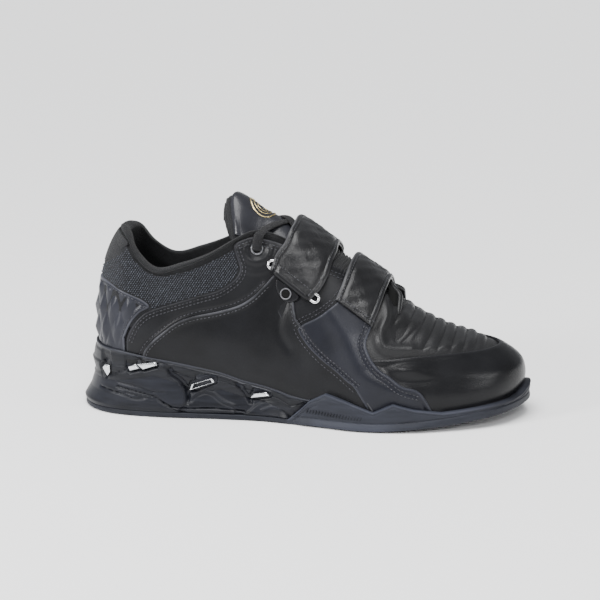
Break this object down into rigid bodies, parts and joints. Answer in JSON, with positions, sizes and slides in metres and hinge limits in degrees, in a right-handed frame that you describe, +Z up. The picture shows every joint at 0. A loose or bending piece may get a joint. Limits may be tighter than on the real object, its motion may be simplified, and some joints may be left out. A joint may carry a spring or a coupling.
{
  "type": "weightlifting shoe",
  "caption": "Right leather weightlifting shoe with a raised flared heel block, padded collar, hollow upper, tongue with laces and opposed instep straps with metal rings.",
  "frame": {"origin": "on the floor, under the centre of the shoe's bounding box", "axes": "+X towards the toe, -Y towards the outer (lateral) side, +Z up"},
  "size_m": [0.3038, 0.1141, 0.1457],
  "materials": {
    "rubber": "matte black rubber",
    "sole_plastic": "semi-matte dark grey moulded plastic",
    "bright_insert": "bright silver",
    "leather": "smooth black leather with a soft gloss",
    "mesh_fabric": "coarse black mesh",
    "lining": "matte black padded lining",
    "ring_metal": "polished",
    "lace": "braided black cord"
  },
  "bodies": {
    "root": {"outsole": "rubber", "heel_block": "sole_plastic", "cradle": "sole_plastic", "midsole": "sole_plastic", "insole": "lining", "upper": "mesh_fabric", "counter": "leather", "toe_guard": "leather", "eyestay_lateral": "leather", "eyestay_medial": "leather", "quarter_lateral": "leather", "quarter_medial": "leather", "saddle_lateral": "leather", "saddle_medial": "leather", "tongue": "leather", "upper_strap": "leather", "lower_strap": "leather", "upper_ring": "ring_metal", "lower_ring": "ring_metal", "upper_ring_tab": "leather", "lower_ring_tab": "leather", "upper_rivet": "ring_metal", "lower_rivet": "ring_metal", "eyelet_lateral": "leather", "eyelet_medial": "leather", "lace": "lace", "insert_heel_lateral": "bright_insert", "insert_heel_medial": "bright_insert", "insert_back_lateral": "bright_insert", "insert_back_medial": "bright_insert", "insert_long_lateral": "bright_insert", "insert_long_medial": "bright_insert", "insert_middle_lateral": "bright_insert", "insert_middle_medial": "bright_insert", "insert_front_lateral": "bright_insert", "insert_front_medial": "bright_insert"}
  },
  "joints": []
}
